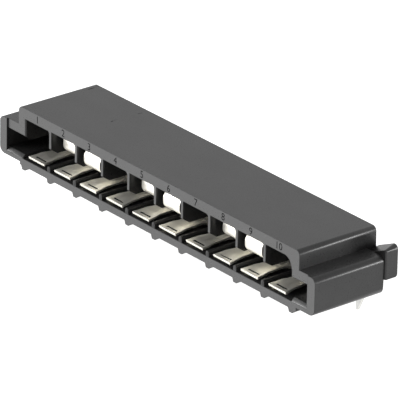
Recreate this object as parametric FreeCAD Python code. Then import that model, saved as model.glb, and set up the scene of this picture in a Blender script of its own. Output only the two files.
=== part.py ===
import FreeCAD, Part

import math
import os

os.makedirs("parts", exist_ok=True)

# A right-angle board connector for flat film, one row of ten contacts in a one-piece moulded housing.
# Driving dimensions, in millimetres. X runs along the row, Y goes in from the front face and Z goes up
# from the board. Depths are counted from the front face, heights from the board and half widths from
# the middle of the row; the finished pieces are then moved so that the origin is mid-depth on the board.

# Row of contacts
positions = 10
pitch = 2.54

# Housing, outside
body_side = 0.60            # upper body beyond the centre line of its outermost partitions
body_depth = 5.83
body_top = 4.07
body_edge_radius = 0.32
left_end = 2.36             # lower body beyond the same line, at the left
right_end = 2.15
end_depth = 5.12
end_top = 2.88
end_bottom = 0.46
end_top_radius = 0.38
end_bottom_radius = 0.45
base_side = 0.35            # the deeper floor under the contacts, beyond the same line
standoff = 0.26             # height of the feet under that floor
foot_left = 0.22            # from the centre line of a partition to its foot's steep left side
foot_right = 0.52           # and to its foot's sloping right side
foot_tip_left = 0.12
foot_tip_right = 0.16

# Housing, inside
end_wall = 0.71
lower_proud = 0.10          # the end walls, floor and ribs stand this far before the upper front face
floor_top = 0.75
film_top = 1.90
film_depth = 4.30
film_lead_depth = 0.50
film_lead_rise = 0.35
edge_lead_in = 0.22         # bevel on the floor that carries the film's bare edges
edge_floor = 0.97
shelf_side = 0.08           # gap from the outermost centre lines to that floor
rib_top = 1.12
rib_width = 0.29
rib_crown = 0.02            # level stretch on top of each rib, between its rounds
grille_depth = 0.50
bar_width = 0.22
lip_height = 0.69           # of the front face over the windows
window_radius = 0.20        # upper corner of each window, on the right
last_window_radius = 0.65
post_radius = 0.10          # front edges of the outermost bars
partition_width = 0.20
roof = 0.32                 # thickness over the pockets

# Ear behind the right-hand end
ear_reach = 0.14            # beyond the end's side
ear_length = 0.94
ear_bottom = 1.42
ear_top = 3.36              # at its front right corner, from where its top
ear_rise = 0.24             # rises to the back
ear_drop = 0.76             # and drops towards the body
ear_front_radius = 0.12     # its front right edge, and its top right edge at the front
ear_top_radius = 0.30       # its top right edge at the back
ear_back_radius = 0.18

# Contacts
sheet = 0.16
contact_width = 1.55
tab_proud = 0.05            # the lower spring starts this far before the front face
tab_height = 1.01           # middle of the sheet at its front edge
crest_depth = 0.86
crest_height = 1.235
crest_radius = 0.70
shoulder_depth = 2.25       # the lower spring runs nearly level from its crest to here
shoulder_height = 1.17
beam_depth = 2.85           # where the lower spring reaches the floor
beam_radius = 0.40
web_depth = 5.20
web_below_roof = 0.80
web_radius = 0.28
touch_behind_nose = 1.50    # the upper spring's lowest point, behind its nose
touch_height = 1.42
touch_radius = 0.50
near_nose = 0.22            # the three kinds of contact differ in how deep their noses lie
middle_nose = 0.62
far_nose_to_web = 3.10
nose_radius = 0.42
nose_below_lip = 0.105
nose_height = 0.84          # between the two corners that the nose rounds off
nose_return = 0.60
groove_length = 1.00
groove_width = 0.06
groove_cut = 0.09
groove_depth = 0.28
barb_length = 0.37
barb_clearance = 0.01

# Solder tails, in three rows
tail_behind_web = 1.20      # from the web to the back row
row_step = 1.27
tail_width = 0.66
tail_tip_width = 0.18
tail_below_board = 2.20
tail_taper = 1.00
tail_radius = 0.22
tail_run = 0.60             # the part of each tail that lies on the lower spring
tail_clearance = 0.12

# Values that follow from the driving dimensions
half_row = positions * pitch / 2
body_half = half_row + body_side
left_face = -(half_row + left_end)
right_face = half_row + right_end
left_wall = left_face + end_wall
right_wall = right_face - end_wall
ear_face = right_face + ear_reach
window_half = (pitch - bar_width) / 2
pocket_half = (pitch - partition_width) / 2
rib_round = (rib_width - rib_crown) / 2
lip_bottom = body_top - lip_height
cavity_top = body_top - roof
mouth_top = film_top + film_lead_rise
web_top = cavity_top - web_below_roof
tab_slope = (crest_height - tab_height) / (crest_depth + tab_proud)
groove_top = tab_height + (groove_depth + tab_proud) * tab_slope + sheet / 2
nose_high = lip_bottom - nose_below_lip - sheet / 2
nose_low = nose_high - nose_height
nose_depths = (web_depth - far_nose_to_web, middle_nose, near_nose)
tail_rows = [web_depth + tail_behind_web - kind * row_step for kind in range(3)]
spare = 1.0                 # how far a cut runs past the face that it opens


def in_front_view(depth):
    """Return a function that puts a point of the front view at a depth."""
    return lambda across, up: FreeCAD.Vector(across, depth, up)


def in_side_view(across):
    """Return a function that puts a point of the side view at a place along the row."""
    return lambda depth, up: FreeCAD.Vector(across, depth, up)


def in_plan(height):
    """Return a function that puts a point of the plan at a height."""
    return lambda across, depth: FreeCAD.Vector(across, depth, height)


def unit(start, end):
    """Return the direction from one flat point to another."""
    run = (end[0] - start[0], end[1] - start[1])
    length = math.hypot(*run)
    return (run[0] / length, run[1] / length)


def left_of(direction):
    """Return a direction turned a quarter turn to the left."""
    return (-direction[1], direction[0])


def path_edges(corners, closed, put):
    """Make the edges of a path whose corners are (first, second, radius)."""
    count = len(corners)
    stops = []
    for index, (first, second, radius) in enumerate(corners):
        is_end = not closed and index in (0, count - 1)
        if radius == 0 or is_end:
            stops.append(((first, second), None, (first, second)))
            continue
        before = unit(corners[index - 1], (first, second))
        after = unit((first, second), corners[(index + 1) % count])
        cosine = before[0] * after[0] + before[1] * after[1]
        half_turn = math.acos(max(-1.0, min(1.0, cosine))) / 2
        reach = radius * math.tan(half_turn)
        sagitta = radius / math.cos(half_turn) - radius
        inward = unit(before, after)
        start = (first - before[0] * reach, second - before[1] * reach)
        end = (first + after[0] * reach, second + after[1] * reach)
        middle = (first + inward[0] * sagitta, second + inward[1] * sagitta)
        stops.append((start, middle, end))
    edges = []
    for index, (start, middle, end) in enumerate(stops):
        if middle is not None:
            edges.append(Part.Arc(put(*start), put(*middle), put(*end)).toShape())
        if closed or index < count - 1:
            onward = stops[(index + 1) % count][0]
            if math.dist(end, onward) > 1e-6:
                edges.append(Part.LineSegment(put(*end), put(*onward)).toShape())
    return edges


def prism(corners, put, run):
    """Extrude a closed outline with rounded corners."""
    face = Part.Face(Part.Wire(path_edges(corners, True, put)))
    return face.extrude(run)


def offset_path(corners, distance):
    """Move an open path to its left by a distance, with its bends kept concentric."""
    moved = []
    last = len(corners) - 1
    for index, (first, second, radius) in enumerate(corners):
        before = unit(corners[max(index, 1) - 1], corners[max(index, 1)])
        after = unit(corners[min(index, last - 1)], corners[min(index, last - 1) + 1])
        side_in = left_of(before)
        side_out = left_of(after)
        share = distance / (1 + side_in[0] * side_out[0] + side_in[1] * side_out[1])
        turns_left = before[0] * after[1] - before[1] * after[0] > 0
        new_radius = radius - distance if turns_left else radius + distance
        if radius == 0:
            new_radius = 0
        moved.append((first + (side_in[0] + side_out[0]) * share,
                      second + (side_in[1] + side_out[1]) * share, new_radius))
    return moved


def bent_strip(corners, width, middle):
    """Bend a strip of the sheet along a path in the side view."""
    put = in_side_view(middle - width / 2)
    one_side = offset_path(corners, sheet / 2)
    other_side = offset_path(corners, -sheet / 2)
    edges = path_edges(one_side, False, put) + path_edges(other_side, False, put)
    for end in (0, -1):
        edges.append(Part.LineSegment(put(*one_side[end][:2]), put(*other_side[end][:2])).toShape())
    wire = Part.Wire(Part.__sortEdges__(edges))
    return Part.Face(wire).extrude(FreeCAD.Vector(width, 0, 0))


def block(x_low, x_high, y_low, y_high, z_low, z_high):
    """Make a square block from its limits."""
    corner = FreeCAD.Vector(x_low, y_low, z_low)
    return Part.makeBox(x_high - x_low, y_high - y_low, z_high - z_low, corner)


def wall_places():
    """List the centre lines of the partitions, from left to right."""
    return [index * pitch - half_row for index in range(positions + 1)]


def contact_places():
    """List the centre lines of the contacts, from left to right."""
    return [(index + 0.5) * pitch - half_row for index in range(positions)]


def housing_outside():
    """Fuse the hat-shaped body, its deeper floor, its feet and the ear."""
    ends = end_section(-lower_proud, end_depth)
    front = block(left_wall, right_wall, -lower_proud - spare, 0, 0, body_top)
    body = prism([(-body_half, end_bottom, 0), (body_half, end_bottom, 0),
                  (body_half, body_top, body_edge_radius), (-body_half, body_top, body_edge_radius)],
                 in_front_view(0), FreeCAD.Vector(0, body_depth, 0))
    base = block(-half_row - base_side, half_row + base_side, -lower_proud, body_depth, standoff, floor_top)
    feet = [foot(place) for place in wall_places()]
    return ends.cut(front).fuse([body, base, ear()] + feet)


def end_section(start, back):
    """Make the lower part of the body, which sticks out at both ends."""
    corners = [(left_face, end_bottom, end_bottom_radius), (right_face, end_bottom, end_bottom_radius),
               (right_face, end_top, end_top_radius), (left_face, end_top, end_top_radius)]
    return prism(corners, in_front_view(start), FreeCAD.Vector(0, back - start, 0))


def foot(place):
    """Make the tapered foot under one partition, from front to back."""
    corners = [(place - foot_tip_left, 0, 0), (place + foot_tip_right, 0, 0),
               (place + foot_right, standoff, 0), (place + foot_right, floor_top, 0),
               (place - foot_left, floor_top, 0), (place - foot_left, standoff, 0)]
    return prism(corners, in_front_view(-lower_proud), FreeCAD.Vector(0, body_depth + lower_proud, 0))


def ear_section(depth, top, radius):
    """Outline the ear at a depth, with its top sloping down from the right towards the body."""
    corners = [(body_half, ear_bottom, 0), (ear_face, ear_bottom, 0), (ear_face, top, radius),
               (body_half, top - ear_drop, 0)]
    return Part.Wire(path_edges(corners, True, in_front_view(depth)))


def ear():
    """Make the ear behind the right-hand end: its top slopes two ways and its outer edges are rounded."""
    back = end_depth + ear_length
    bottom = ear_bottom - spare
    highest = ear_top + ear_rise
    front_section = ear_section(end_depth, ear_top, ear_front_radius)
    sloped = Part.makeLoft([front_section, ear_section(back, highest, ear_top_radius)], True, True)
    plan = [(body_half, end_depth, 0), (ear_face, end_depth, ear_front_radius),
            (ear_face, back, 0), (body_half, back, 0)]
    side = [(end_depth, ear_bottom, 0), (back, ear_bottom, ear_back_radius),
            (back, highest, ear_back_radius), (end_depth, highest, 0)]
    rounded = prism(plan, in_plan(bottom), FreeCAD.Vector(0, 0, highest + spare - bottom))
    profile = prism(side, in_side_view(body_half), FreeCAD.Vector(ear_face - body_half, 0, 0))
    return rounded.common(profile).common(sloped)


def film_slot():
    """Cut the slot for the film, with its sloped mouth, and the space for the ribs under it."""
    corners = [(-spare, floor_top, 0), (film_depth, floor_top, 0), (film_depth, film_top, 0),
               (film_lead_depth, film_top, 0), (0, mouth_top, 0), (-spare, mouth_top, 0)]
    return prism(corners, in_side_view(left_wall), FreeCAD.Vector(right_wall - left_wall, 0, 0))


def window(middle, radius):
    """Cut one window of the front grille."""
    corners = [(middle - window_half, floor_top + spare, 0), (middle + window_half, floor_top + spare, 0),
               (middle + window_half, lip_bottom, radius), (middle - window_half, lip_bottom, 0)]
    return prism(corners, in_front_view(-spare), FreeCAD.Vector(0, spare + grille_depth, 0))


def pocket(middle):
    """Cut the pocket of one contact, which is open at the back for its assembly."""
    return block(middle - pocket_half, middle + pocket_half, grille_depth, body_depth + spare,
                 floor_top, cavity_top)


def tail_slot(middle, row):
    """Cut the slot through the floor for one solder tail, open at the back."""
    half = tail_width / 2 + tail_clearance
    start = row - tail_radius - sheet / 2 - tail_clearance
    return block(middle - half, middle + half, start, body_depth + spare, -spare, floor_top)


def rounded_post(place, towards_middle, low, high):
    """Cut the round on the front edge of a wall that faces the opening."""
    side = post_radius * towards_middle
    corner = (place - side, 0)
    tangent = (place, post_radius)
    slant = 1 - math.sqrt(0.5)
    middle = (place - side * slant, post_radius * slant)
    put = in_plan(low)
    edges = [Part.Arc(put(*tangent), put(*middle), put(*corner)).toShape()]
    outside = [corner, (place - side, -spare), (place + side, -spare), (place + side, post_radius), tangent]
    for start, end in zip(outside, outside[1:]):
        edges.append(Part.LineSegment(put(*start), put(*end)).toShape())
    return Part.Face(Part.Wire(edges)).extrude(FreeCAD.Vector(0, 0, high - low))


def lower_rib(place):
    """Make a round-topped rib between two contacts, under the film."""
    half = rib_width / 2
    corners = [(place - half, end_bottom, 0), (place + half, end_bottom, 0),
               (place + half, rib_top, rib_round), (place - half, rib_top, rib_round)]
    return prism(corners, in_front_view(-lower_proud), FreeCAD.Vector(0, film_depth + lower_proud, 0))


def edge_shelf(x_low, x_high):
    """Make the bevelled floor under one bare edge of the film."""
    corners = [(-lower_proud, end_bottom, 0), (film_depth, end_bottom, 0), (film_depth, edge_floor, 0),
               (edge_lead_in - lower_proud, edge_floor, 0), (-lower_proud, edge_floor - edge_lead_in, 0)]
    return prism(corners, in_side_view(x_low), FreeCAD.Vector(x_high - x_low, 0, 0))


def housing():
    """Make the moulded housing."""
    cuts = [film_slot()]
    for index, middle in enumerate(contact_places()):
        row = tail_rows[index % len(tail_rows)]
        radius = last_window_radius if index == positions - 1 else window_radius
        cuts += [window(middle, radius), pocket(middle)]
        if row < body_depth:
            cuts.append(tail_slot(middle, row))
    outer_bar = half_row - bar_width / 2
    cuts += [rounded_post(-outer_bar, 1, film_top, lip_bottom),
             rounded_post(outer_bar, -1, film_top, lip_bottom - last_window_radius)]
    shape = housing_outside()
    for cut in cuts:
        shape = shape.cut(cut)
    shelf_end = half_row + shelf_side
    ribs = [lower_rib(place) for place in wall_places()[1:-1]]
    shelves = [edge_shelf(left_wall, -shelf_end), edge_shelf(shelf_end, right_wall)]
    return shape.fuse(ribs + shelves).removeSplitter()


def tail(middle, row):
    """Make a solder tail: flat on the lower spring, bent down, and tapered on its right side."""
    level = floor_top + sheet / 2
    start = min(row - tail_radius, web_depth - web_radius) - tail_run
    path = [(start, level, 0), (row, level, tail_radius), (row, -tail_below_board, 0)]
    blade = bent_strip(path, tail_width, middle)
    half = tail_width / 2
    tip = tail_tip_width - half
    beyond = half + spare
    bottom = -tail_below_board
    corners = [(middle + half, tail_taper + bottom, 0), (middle + beyond, tail_taper + bottom, 0),
               (middle + beyond, bottom - spare, 0), (middle + tip, bottom - spare, 0),
               (middle + tip, bottom, 0)]
    through = FreeCAD.Vector(0, 2 * spare, 0)
    return blade.cut(prism(corners, in_front_view(row - spare), through))


def contact(middle, nose_depth, row):
    """Make one contact: a lower spring tab, a web at the back and an upper spring with a round nose."""
    level = floor_top + sheet / 2
    nose = nose_depth + sheet / 2
    path = [(-tab_proud, tab_height, 0), (crest_depth, crest_height, crest_radius),
            (shoulder_depth, shoulder_height, beam_radius), (beam_depth, level, beam_radius),
            (web_depth, level, web_radius), (web_depth, web_top, web_radius),
            (nose + touch_behind_nose, touch_height, touch_radius), (nose, nose_low, nose_radius),
            (nose, nose_high, nose_radius), (nose + nose_return, nose_high, 0)]
    spring = bent_strip(path, contact_width, middle)
    barb_half = pocket_half - barb_clearance
    barb_back = web_depth - web_radius
    barbs = block(middle - barb_half, middle + barb_half, barb_back - barb_length, barb_back,
                  floor_top, floor_top + sheet)
    groove = block(middle - groove_length / 2, middle + groove_length / 2, groove_depth,
                   groove_depth + groove_width, groove_top - groove_cut, groove_top + sheet)
    return spring.cut(groove).fuse([barbs, tail(middle, row)]).removeSplitter()


def save(shape, node):
    """Move a piece to the origin and write it."""
    shape.translate(FreeCAD.Vector(0, -body_depth / 2, 0))
    shape.exportStep(f"parts/{node}.step")
    print(node, "solids", len(shape.Solids), "valid", shape.isValid(), "volume", round(shape.Volume, 4))


save(housing(), "housing")
for index, middle in enumerate(contact_places()):
    kind = index % len(tail_rows)
    save(contact(middle, nose_depths[kind], tail_rows[kind]), f"contact_{index + 1:02d}")
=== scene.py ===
import math

import bmesh
import bpy
from mathutils import Matrix, Vector


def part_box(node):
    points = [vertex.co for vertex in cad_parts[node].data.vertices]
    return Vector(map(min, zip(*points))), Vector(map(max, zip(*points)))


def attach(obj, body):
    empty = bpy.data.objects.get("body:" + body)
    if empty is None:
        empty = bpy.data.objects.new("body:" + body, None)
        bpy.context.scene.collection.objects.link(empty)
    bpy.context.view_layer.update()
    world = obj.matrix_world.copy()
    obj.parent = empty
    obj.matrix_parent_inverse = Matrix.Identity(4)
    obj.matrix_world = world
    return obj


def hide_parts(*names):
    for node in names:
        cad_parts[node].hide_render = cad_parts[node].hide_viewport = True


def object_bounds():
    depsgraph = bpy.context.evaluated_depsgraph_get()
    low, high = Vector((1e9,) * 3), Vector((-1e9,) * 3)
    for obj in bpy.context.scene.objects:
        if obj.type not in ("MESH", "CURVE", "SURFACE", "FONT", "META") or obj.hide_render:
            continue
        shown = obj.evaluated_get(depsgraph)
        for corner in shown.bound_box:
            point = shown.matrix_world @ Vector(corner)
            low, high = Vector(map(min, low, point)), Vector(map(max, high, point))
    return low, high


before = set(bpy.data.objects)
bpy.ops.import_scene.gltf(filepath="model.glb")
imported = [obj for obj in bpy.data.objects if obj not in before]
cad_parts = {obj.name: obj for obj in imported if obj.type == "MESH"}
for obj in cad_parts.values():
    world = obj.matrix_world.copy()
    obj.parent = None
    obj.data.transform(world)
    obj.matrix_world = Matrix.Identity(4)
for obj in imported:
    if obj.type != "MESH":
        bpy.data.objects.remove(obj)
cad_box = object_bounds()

MM = 0.001

# Material slots of the finished pieces
# slot of the painted shade, a near-black on the bottoms of engraved marks and in the contacts' grooves
PAINTED_SHADE = 1
PAINTED_SHEEN_AND_SHADE = 2           # painted sheen on the housing's front, a brighter-reflecting plastic; painted shade on the contacts' tails, a darker tin

# Camera, fitted to the photograph, whose frame is 400 pixels wide
PHOTO_WIDTH = 400
FOCAL_PIXELS = 5577.684
SENSOR_WIDTH = 36.0
VIEW_AZIMUTH = math.radians(50.552)
VIEW_ELEVATION = math.radians(24.085)
VIEW_ROLL = math.radians(1.111)
VIEW_DISTANCE = 331.423 * MM
VIEW_TARGET = Vector((0.679, -0.015, 1.999)) * MM
NEAREST_SEEN = 0.01

# Light
SKY_LIGHT = 0.62
FLOOR_SIZE = 1.2
FLOOR_COLOUR = (0.80, 0.80, 0.80, 1.0)
FLOOR_GLOW = 0.70
LAMP_DISTANCE = 0.5

# Surfaces: noise textures are used between two of their values, and bumps are in millimetres
NOISE_LOW = 0.3
NOISE_HIGH = 0.7
PLASTIC_DARK = (0.013, 0.013, 0.013)
PLASTIC_LIGHT = (0.020, 0.020, 0.020)
PLASTIC_BUMP = 0.004
TIN_SMOOTHEST = 0.42
TIN_ROUGHEST = 0.54
TIN_BUMP = 0.003
# Painted shade: a dull near-black that darkens the bottoms of engraved marks and the contacts' grooves
PAINTED_SHADE_COLOUR = (0.008, 0.008, 0.008, 1.0)
PAINTED_SHADE_ROUGHNESS = 0.8
PAINTED_SHADE_SPECULAR = 0.2

# Clean-up of the CAD meshes, in millimetres
MERGE_DISTANCE = 0.0005
FLAT_ANGLE = math.radians(0.6)

# The housing's front, given a painted sheen, in millimetres and square millimetres
FACING = 0.999              # how squarely a face has to look forwards to count as a front face
FRONT_DEPTH = 0.01          # faces closer than this in depth count as level
SILL_TOP = 0.75             # above it the ends of the ribs begin, which get no painted sheen
RIB_END_LARGEST = 0.30

# Fine rounds on the sharp edges, in millimetres
SHARP_ANGLE = math.radians(35)
MOULD_EDGE = 0.030
STRIP_EDGE = 0.020
EDGE_STEPS = 2
ROUND_PROFILE = 0.5
ROOM = 2.2                  # the least length beside a round, in widths of the round
CHAIN_TURN = 0.8            # cosine of the sharpest turn at which a row of sharp edges goes on
LARGE_FACES_FIRST = 100     # weight of a face's area in the shading of the rounds beside it

# Shape of the contacts' tabs, in millimetres: how far the tab sinks at each depth behind the front
# face, and how much of its width it keeps there
TAB_TOP = 1.33
TAB_DEPTHS = (-0.05, 0.40, 0.86, 1.40, 2.25, 2.85)
TAB_DROPS = (0.0, 0.095, 0.15, 0.155, 0.09, 0.0)
TAB_TAPERS = (1.0, 0.93, 0.85, 0.76, 0.76, 1.0)
TAB_LONG_EDGE = 0.2
TAB_CUTS = 3

# Groove across each tab, in millimetres and square millimetres: where it is found, and how it is
# stretched and moved along the row and in depth
GROOVE_DEPTH = (0.27, 0.35)
GROOVE_TOP = 1.30
GROOVE_LARGEST_FACE = 0.12
GROOVE_STRETCH = (1.0, 2.0)
GROOVE_SHIFT = (0.09, -0.06)

# Position numbers on the front face, in millimetres
DIGIT_HEIGHT = 0.46
DIGIT_SHARE = 0.7           # of a font's size, taken by the height of its digits
DIGIT_DEPTH = 0.09
DIGIT_STEPS = 3
DIGIT_BELOW_TOP = 0.36

# Scuffs on the top, in millimetres: start, end and width
SCUFF_DEPTH = 0.03
SCUFFS = [((-12.72, 1.97), (-12.70, 2.45), 0.06), ((-12.71, 2.50), (-12.76, 2.86), 0.02),
          ((-10.44, 2.62), (-10.26, 2.84), 0.03), ((-7.98, 0.03), (-7.97, 0.20), 0.07),
          ((-7.98, 0.24), (-8.02, 0.55), 0.02), ((-7.97, 2.08), (-7.88, 2.36), 0.04)]


def new_material(name):
    """Make a material without nodes, and return it with its node tree and its output."""
    material = bpy.data.materials.new(name)
    material.use_nodes = True
    tree = material.node_tree
    tree.nodes.clear()
    output = tree.nodes.new("ShaderNodeOutputMaterial")
    return material, tree, output


def noise(tree, coords, scale, detail, stretch=(1, 1, 1)):
    """Add a noise texture whose scale is given in waves per millimetre."""
    mapping = tree.nodes.new("ShaderNodeMapping")
    mapping.inputs["Scale"].default_value = [scale * part / MM for part in stretch]
    tree.links.new(coords.outputs["Object"], mapping.inputs["Vector"])
    texture = tree.nodes.new("ShaderNodeTexNoise")
    texture.inputs["Scale"].default_value = 1.0
    texture.inputs["Detail"].default_value = detail
    tree.links.new(mapping.outputs["Vector"], texture.inputs["Vector"])
    return texture


def remap(tree, source, low, high):
    """Turn a texture's value into a range."""
    node = tree.nodes.new("ShaderNodeMapRange")
    node.inputs["From Min"].default_value = NOISE_LOW
    node.inputs["From Max"].default_value = NOISE_HIGH
    node.inputs["To Min"].default_value = low
    node.inputs["To Max"].default_value = high
    tree.links.new(source.outputs[0], node.inputs["Value"])
    return node


def colour_range(tree, source, dark, light):
    """Turn a texture's value into a colour between two colours."""
    ramp = tree.nodes.new("ShaderNodeValToRGB")
    lower, upper = ramp.color_ramp.elements
    lower.position = NOISE_LOW
    lower.color = (*dark, 1.0)
    upper.position = NOISE_HIGH
    upper.color = (*light, 1.0)
    tree.links.new(source.outputs[0], ramp.inputs["Fac"])
    return ramp


def add_bump(tree, texture, strength, height):
    """Raise a surface by a texture, up to a height in millimetres, and return the node."""
    bump = tree.nodes.new("ShaderNodeBump")
    bump.inputs["Strength"].default_value = strength
    bump.inputs["Distance"].default_value = height * MM
    tree.links.new(texture.outputs[0], bump.inputs["Height"])
    return bump


def connect(tree, output, colour, roughness, bump):
    """Join a material's colour, roughness and bump in a shader, and return the shader."""
    shader = tree.nodes.new("ShaderNodeBsdfPrincipled")
    tree.links.new(colour.outputs["Color"], shader.inputs["Base Color"])
    tree.links.new(roughness.outputs[0], shader.inputs["Roughness"])
    tree.links.new(bump.outputs["Normal"], shader.inputs["Normal"])
    tree.links.new(shader.outputs["BSDF"], output.inputs["Surface"])
    return shader


def black_plastic(name, smoothest, roughest, refraction):
    """Moulded black plastic: satin, finely grained, with faint cloudy flow marks."""
    material, tree, output = new_material(name)
    coords = tree.nodes.new("ShaderNodeTexCoord")
    clouds = noise(tree, coords, scale=0.5, detail=3.0, stretch=(0.4, 1, 1))
    grain = noise(tree, coords, scale=14.0, detail=2.0)
    colour = colour_range(tree, clouds, PLASTIC_DARK, PLASTIC_LIGHT)
    roughness = remap(tree, grain, smoothest, roughest)
    bump = add_bump(tree, grain, strength=0.30, height=PLASTIC_BUMP)
    shader = connect(tree, output, colour, roughness, bump)
    shader.inputs["IOR"].default_value = refraction
    return material


def tin_plate(name, dark, light):
    """Tin plate on a rolled strip: faint marks along its length and a colour between two greys."""
    material, tree, output = new_material(name)
    coords = tree.nodes.new("ShaderNodeTexCoord")
    rolled = noise(tree, coords, scale=9.0, detail=2.0, stretch=(1, 0.08, 0.3))
    clouds = noise(tree, coords, scale=1.2, detail=2.0)
    colour = colour_range(tree, clouds, dark, light)
    roughness = remap(tree, rolled, TIN_SMOOTHEST, TIN_ROUGHEST)
    bump = add_bump(tree, rolled, strength=0.25, height=TIN_BUMP)
    shader = connect(tree, output, colour, roughness, bump)
    shader.inputs["Metallic"].default_value = 1.0
    return material


def recess_shade():
    """Painted shade: dull black for the bottoms of engraved marks and the contacts' grooves, where
    shadow falls.
    """
    material, tree, output = new_material("recess_shade")
    shader = tree.nodes.new("ShaderNodeBsdfPrincipled")
    shader.inputs["Base Color"].default_value = PAINTED_SHADE_COLOUR
    shader.inputs["Roughness"].default_value = PAINTED_SHADE_ROUGHNESS
    shader.inputs["Specular IOR Level"].default_value = PAINTED_SHADE_SPECULAR
    tree.links.new(shader.outputs["BSDF"], output.inputs["Surface"])
    return material


def clean_mesh(node):
    """Copy a CAD node's mesh in millimetres, with its triangles joined back into flat faces."""
    mesh = bmesh.new()
    mesh.from_mesh(node.data)
    mesh.transform(Matrix.Scale(1 / MM, 4) @ node.matrix_world)
    bmesh.ops.remove_doubles(mesh, verts=mesh.verts, dist=MERGE_DISTANCE)
    bmesh.ops.dissolve_limit(mesh, angle_limit=FLAT_ANGLE, verts=mesh.verts, edges=mesh.edges)
    return mesh


def has_room(edge, sharp, width):
    """Tell whether the edges beside an edge are long enough for its round, or carry it on."""
    for corner in edge.verts:
        along = (edge.other_vert(corner).co - corner.co).normalized()
        for beside in corner.link_edges:
            onward = (corner.co - beside.other_vert(corner).co).normalized()
            goes_on = beside in sharp and along.dot(onward) >= CHAIN_TURN
            if beside is not edge and not goes_on and beside.calc_length() < ROOM * width:
                return False
    return True


def round_edges(mesh, width):
    """Put a narrow round on every sharp edge that sticks out and has room for it."""
    sharp = {edge for edge in mesh.edges if edge.is_manifold and edge.is_convex
             and edge.calc_face_angle() > SHARP_ANGLE
             and not any(face.material_index == PAINTED_SHADE for face in edge.link_faces)}
    roomy = [edge for edge in mesh.edges if edge in sharp and has_room(edge, sharp, width)]
    bmesh.ops.bevel(mesh, geom=roomy, offset=width, offset_type="OFFSET", segments=EDGE_STEPS,
                    profile=ROUND_PROFILE, affect="EDGES", clamp_overlap=False)


def mesh_object(name, mesh, materials):
    """Turn a mesh made in millimetres into an object in metres with its materials."""
    mesh.transform(Matrix.Scale(MM, 4))
    data = bpy.data.meshes.new(name)
    mesh.to_mesh(data)
    mesh.free()
    imported_normals = data.attributes.get("custom_normal")
    if imported_normals:
        data.attributes.remove(imported_normals)
    for material in materials:
        data.materials.append(material)
    made = bpy.data.objects.new(name, data)
    bpy.context.scene.collection.objects.link(made)
    return made


def dress(made, node_name):
    """Shade a finished piece smoothly and let it stand for its CAD node."""
    made.data.polygons.foreach_set("use_smooth", [True] * len(made.data.polygons))
    made.data.set_sharp_from_angle(angle=SHARP_ANGLE)
    weights = made.modifiers.new("flat_faces", "WEIGHTED_NORMAL")
    weights.weight = LARGE_FACES_FIRST
    weights.keep_sharp = True
    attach(made, "root")
    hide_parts(node_name)


def digit_cutter(text, across, depth, height):
    """Make a solid number that faces the front, to be cut out of the front face."""
    curve = bpy.data.curves.new("digits", "FONT")
    curve.body = text
    curve.align_x = "CENTER"
    curve.align_y = "CENTER"
    curve.size = DIGIT_HEIGHT / DIGIT_SHARE
    curve.resolution_u = DIGIT_STEPS
    letters = bpy.data.objects.new("digits", curve)
    flat = bpy.data.meshes.new_from_object(letters)
    mesh = bmesh.new()
    mesh.from_mesh(flat)
    bmesh.ops.remove_doubles(mesh, verts=mesh.verts, dist=MERGE_DISTANCE)
    inner = [edge for edge in mesh.edges if not edge.is_boundary]
    bmesh.ops.delete(mesh, geom=inner, context="EDGES_FACES")
    bmesh.ops.triangle_fill(mesh, edges=mesh.edges, use_beauty=True)
    grown = bmesh.ops.extrude_face_region(mesh, geom=mesh.faces[:])
    moved = [item for item in grown["geom"] if isinstance(item, bmesh.types.BMVert)]
    bmesh.ops.translate(mesh, verts=moved, vec=(0, 0, 2 * DIGIT_DEPTH))
    bmesh.ops.recalc_face_normals(mesh, faces=mesh.faces)
    upright = Matrix.Rotation(math.radians(90), 4, "X")
    place = Matrix.Translation((across, depth, height))
    mesh.transform(place @ upright @ Matrix.Translation((0, 0, -DIGIT_DEPTH)))
    bpy.data.objects.remove(letters)
    bpy.data.curves.remove(curve)
    bpy.data.meshes.remove(flat)
    return mesh


def scuff_cutter(start, end, width, height):
    """Make a thin bar that is cut out of the top as a scuff."""
    mesh = bmesh.new()
    bmesh.ops.create_cube(mesh, size=1.0)
    run = Vector(end) - Vector(start)
    middle = (Vector(start) + Vector(end)) / 2
    turn = Matrix.Rotation(math.atan2(run.y, run.x), 4, "Z")
    stretch = Matrix.Diagonal((run.length, width, 2 * SCUFF_DEPTH, 1.0))
    mesh.transform(Matrix.Translation((middle.x, middle.y, height)) @ turn @ stretch)
    return mesh


def joined(meshes):
    """Join several cutters into one mesh, whose faces put painted shade on the bottoms of what they
    cut.
    """
    whole = bmesh.new()
    for part in meshes:
        for face in part.faces:
            face.material_index = PAINTED_SHADE
        data = bpy.data.meshes.new("part")
        part.to_mesh(data)
        part.free()
        whole.from_mesh(data)
        bpy.data.meshes.remove(data)
    return whole


def engrave(made, cutter):
    """Cut fine detail out of a piece."""
    cut = made.modifiers.new("cut", "BOOLEAN")
    cut.operation = "DIFFERENCE"
    cut.solver = "EXACT"
    cut.object = cutter
    depsgraph = bpy.context.evaluated_depsgraph_get()
    result = bpy.data.meshes.new_from_object(made.evaluated_get(depsgraph))
    made.modifiers.remove(cut)
    old = made.data
    made.data = result
    bpy.data.meshes.remove(old)
    bpy.data.objects.remove(cutter)


def contact_nodes():
    """List the contacts' names from left to right."""
    return sorted(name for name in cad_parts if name.startswith("contact"))


def front_face_depth(mesh):
    """Find how deep the widest face that looks forwards lies."""
    facing = [face for face in mesh.faces if face.normal.y < -FACING]
    return max(facing, key=lambda face: face.calc_area()).calc_center_median().y


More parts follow.
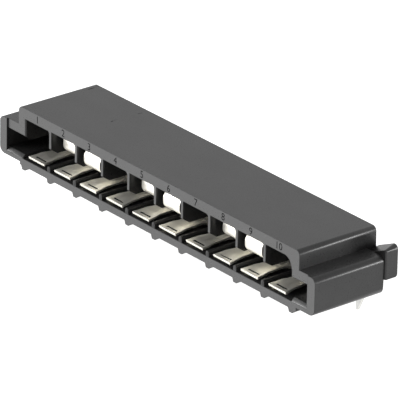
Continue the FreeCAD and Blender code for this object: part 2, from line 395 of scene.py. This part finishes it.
def paint_front_sheen(mesh, front):
    """Give the faces that look forwards a painted sheen, a brighter-reflecting plastic, but not the
    ends of the ribs.
    """
    ahead = [face for face in mesh.faces
             if face.normal.y < -FACING and face.calc_center_median().y < front + FRONT_DEPTH]
    lower = [face for face in ahead if face.calc_center_median().y < front - FRONT_DEPTH]
    around = dict.fromkeys(item for face in lower for item in (*face.verts, *face.edges))
    cut = bmesh.ops.bisect_plane(mesh, geom=[*lower, *around], dist=MERGE_DISTANCE,
                                 plane_co=(0, 0, SILL_TOP), plane_no=(0, 0, 1))
    pieces = [item for item in cut["geom"] if isinstance(item, bmesh.types.BMFace)]
    for face in {*ahead, *pieces}:
        middle = face.calc_center_median()
        among_ribs = middle.z > SILL_TOP and middle.y < front - FRONT_DEPTH
        if not (among_ribs and face.calc_area() < RIB_END_LARGEST):
            face.material_index = PAINTED_SHEEN_AND_SHADE


def make_housing(materials):
    """Refine the housing, number its positions and scuff its top. Return its front face's depth."""
    low, high = [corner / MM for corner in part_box("housing")]
    mesh = clean_mesh(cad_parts["housing"])
    front = front_face_depth(mesh)
    paint_front_sheen(mesh, front)
    round_edges(mesh, MOULD_EDGE)
    made = mesh_object("moulded_housing", mesh, materials)
    cutters = []
    for index, name in enumerate(contact_nodes()):
        left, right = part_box(name)
        across = (left.x + right.x) / 2 / MM
        cutters.append(digit_cutter(str(index + 1), across, front, high.z - DIGIT_BELOW_TOP))
    cutters += [scuff_cutter(start, end, width, high.z) for start, end, width in SCUFFS]
    engrave(made, mesh_object("cutter", joined(cutters), materials))
    dress(made, "housing")
    return front


def shape_groove(mesh, front):
    """Paint shade into the groove across the sloping tab, and fit its place and size to the photograph.
    """
    inside = []
    for face in mesh.faces:
        middle = face.calc_center_median()
        across_groove = GROOVE_DEPTH[0] < middle.y - front < GROOVE_DEPTH[1]
        if across_groove and 0 < middle.z < GROOVE_TOP and face.calc_area() < GROOVE_LARGEST_FACE:
            # painted shade on the groove's faces
            face.material_index = PAINTED_SHADE
            inside.append(face)
    corners = dict.fromkeys(corner for face in inside for corner in face.verts)
    rim = [corner.co for corner in corners if any(face not in inside for face in corner.link_faces)]
    near = min(rim, key=lambda place: place.y)
    far = max(rim, key=lambda place: place.y)
    slope = (far.z - near.z) / (far.y - near.y)
    middle_x = (min(place.x for place in rim) + max(place.x for place in rim)) / 2
    middle_y = (near.y + far.y) / 2
    for corner in corners:
        across = (corner.co.x - middle_x) * GROOVE_STRETCH[0] + GROOVE_SHIFT[0]
        inward = (corner.co.y - middle_y) * GROOVE_STRETCH[1] + GROOVE_SHIFT[1]
        rise = (middle_y + inward - corner.co.y) * slope
        corner.co = Vector((middle_x + across, middle_y + inward, corner.co.z + rise))


def between(place, places, values):
    """Read a value at a place from a list of places and their values."""
    for index in range(len(places) - 1):
        start, end = places[index:index + 2]
        if start <= place <= end:
            share = (place - start) / (end - start)
            return values[index] * (1 - share) + values[index + 1] * share
    return values[0] if place < places[0] else values[-1]


def shape_tab(mesh, front, middle_x):
    """Flatten the tab and let it narrow towards its back, as it looks in the photograph."""
    back = front + TAB_DEPTHS[-1]
    in_tab = [edge for edge in mesh.edges
              if all(corner.co.z < TAB_TOP and corner.co.y < back for corner in edge.verts)]
    long_edges = [edge for edge in in_tab
                  if abs(edge.verts[0].co.y - edge.verts[1].co.y) > TAB_LONG_EDGE]
    bmesh.ops.subdivide_edges(mesh, edges=long_edges, cuts=TAB_CUTS)
    for corner in mesh.verts:
        depth = corner.co.y - front
        if 0 < corner.co.z < TAB_TOP and depth < TAB_DEPTHS[-1]:
            kept = between(depth, TAB_DEPTHS, TAB_TAPERS)
            corner.co.z -= between(depth, TAB_DEPTHS, TAB_DROPS)
            corner.co.x = middle_x + (corner.co.x - middle_x) * kept


def make_contact(name, materials, front):
    """Refine one contact: its groove and its tab, with painted shade on the tail below the board's top,
    a darker tin.
    """
    mesh = clean_mesh(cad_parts[name])
    shape_groove(mesh, front)
    low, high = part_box(name)
    shape_tab(mesh, front, (low.x + high.x) / 2 / MM)
    # Painted shade: the tail below the board's top takes the darker tin
    for face in mesh.faces:
        if face.calc_center_median().z < 0:
            face.material_index = PAINTED_SHEEN_AND_SHADE
    round_edges(mesh, STRIP_EDGE)
    dress(mesh_object(f"spring_{name}", mesh, materials), name)


def seen_directly(tree):
    """Return a value that is 1 on camera, glossy and transmission rays and 0 on the others."""
    path = tree.nodes.new("ShaderNodeLightPath")
    total = path.outputs["Is Camera Ray"]
    for name in ("Is Glossy Ray", "Is Transmission Ray"):
        either = tree.nodes.new("ShaderNodeMath")
        either.operation = "MAXIMUM"
        tree.links.new(total, either.inputs[0])
        tree.links.new(path.outputs[name], either.inputs[1])
        total = either.outputs[0]
    return total


def floor_material():
    """Pale floor that looks white where no shadow falls."""
    material, tree, output = new_material("floor_white")
    diffuse = tree.nodes.new("ShaderNodeBsdfDiffuse")
    diffuse.inputs["Color"].default_value = FLOOR_COLOUR
    glow = tree.nodes.new("ShaderNodeEmission")
    strength = tree.nodes.new("ShaderNodeMath")
    strength.operation = "MULTIPLY"
    strength.inputs[1].default_value = FLOOR_GLOW
    tree.links.new(seen_directly(tree), strength.inputs[0])
    tree.links.new(strength.outputs[0], glow.inputs["Strength"])
    both = tree.nodes.new("ShaderNodeAddShader")
    tree.links.new(diffuse.outputs[0], both.inputs[0])
    tree.links.new(glow.outputs[0], both.inputs[1])
    tree.links.new(both.outputs[0], output.inputs["Surface"])
    return material


def make_world():
    """Light the scene with a plain white sky, which looks white where it is seen."""
    world = bpy.data.worlds.new("studio")
    bpy.context.scene.world = world
    world.use_nodes = True
    tree = world.node_tree
    tree.nodes.clear()
    output = tree.nodes.new("ShaderNodeOutputWorld")
    sky = tree.nodes.new("ShaderNodeBackground")
    sky.inputs["Strength"].default_value = SKY_LIGHT
    backdrop = tree.nodes.new("ShaderNodeBackground")
    for node in (sky, backdrop):
        node.inputs["Color"].default_value = (1.0, 1.0, 1.0, 1.0)
    choice = tree.nodes.new("ShaderNodeMixShader")
    tree.links.new(seen_directly(tree), choice.inputs["Fac"])
    tree.links.new(sky.outputs[0], choice.inputs[1])
    tree.links.new(backdrop.outputs[0], choice.inputs[2])
    tree.links.new(choice.outputs[0], output.inputs["Surface"])


def make_floor():
    """Put a plain pale floor under the lowest point of the object."""
    mesh = bpy.data.meshes.new("floor")
    half = FLOOR_SIZE / 2
    level = cad_box[0][2]
    corners = [(-half, -half, level), (half, -half, level), (half, half, level), (-half, half, level)]
    mesh.from_pydata(corners, [], [(0, 1, 2, 3)])
    floor = bpy.data.objects.new("floor", mesh)
    floor.data.materials.append(floor_material())
    bpy.context.scene.collection.objects.link(floor)


def area_lamp(name, direction, size, power):
    """Hang a soft lamp, of a width and a height, that points at the object."""
    light = bpy.data.lights.new(name, "AREA")
    light.shape = "RECTANGLE"
    light.size, light.size_y = size
    light.energy = power
    lamp = bpy.data.objects.new(name, light)
    away = Vector(direction).normalized()
    lamp.location = VIEW_TARGET + away * LAMP_DISTANCE
    lamp.rotation_euler = away.to_track_quat("Z", "Y").to_euler()
    bpy.context.scene.collection.objects.link(lamp)


def make_camera():
    """Look at the object as the photograph does."""
    away = Vector((math.sin(VIEW_AZIMUTH) * math.cos(VIEW_ELEVATION),
                   -math.cos(VIEW_AZIMUTH) * math.cos(VIEW_ELEVATION),
                   math.sin(VIEW_ELEVATION)))
    level_right = Vector((math.cos(VIEW_AZIMUTH), math.sin(VIEW_AZIMUTH), 0))
    level_up = away.cross(level_right)
    right = level_right * math.cos(VIEW_ROLL) + level_up * math.sin(VIEW_ROLL)
    up = level_up * math.cos(VIEW_ROLL) - level_right * math.sin(VIEW_ROLL)
    data = bpy.data.cameras.new("camera")
    data.sensor_width = SENSOR_WIDTH
    data.lens = FOCAL_PIXELS * SENSOR_WIDTH / PHOTO_WIDTH
    data.clip_start = NEAREST_SEEN
    camera = bpy.data.objects.new("camera", data)
    turn = Matrix((right, up, away)).transposed().to_4x4()
    camera.matrix_world = Matrix.Translation(VIEW_TARGET + away * VIEW_DISTANCE) @ turn
    bpy.context.scene.collection.objects.link(camera)
    bpy.context.scene.camera = camera


bpy.context.scene.view_settings.view_transform = "Standard"
make_camera()
make_world()
make_floor()
area_lamp("key_lamp", direction=(-0.66, -0.66, 0.30), size=(0.36, 0.20), power=3.0)
area_lamp("rim_lamp", direction=(0.80, 0.58, 0.12), size=(0.30, 0.08), power=2.0)

plastic = black_plastic("satin_plastic", smoothest=0.26, roughest=0.38, refraction=1.42)
# Painted sheen: the same plastic reflecting more strongly, which lightens the faces that look forwards
sheen_plastic = black_plastic("front_sheen_plastic", smoothest=0.26, roughest=0.36, refraction=1.80)
bright_tin = tin_plate("bright_tin", dark=(0.82, 0.80, 0.73), light=(0.90, 0.88, 0.81))
# Painted shade: a darker copy of the tin, for the tails
shaded_tail_tin = tin_plate("shaded_tail_tin", dark=(0.62, 0.62, 0.61), light=(0.70, 0.70, 0.68))
shade = recess_shade()
front_face = make_housing([plastic, shade, sheen_plastic])
for contact_name in contact_nodes():
    make_contact(contact_name, [bright_tin, shade, shaded_tail_tin], front_face)
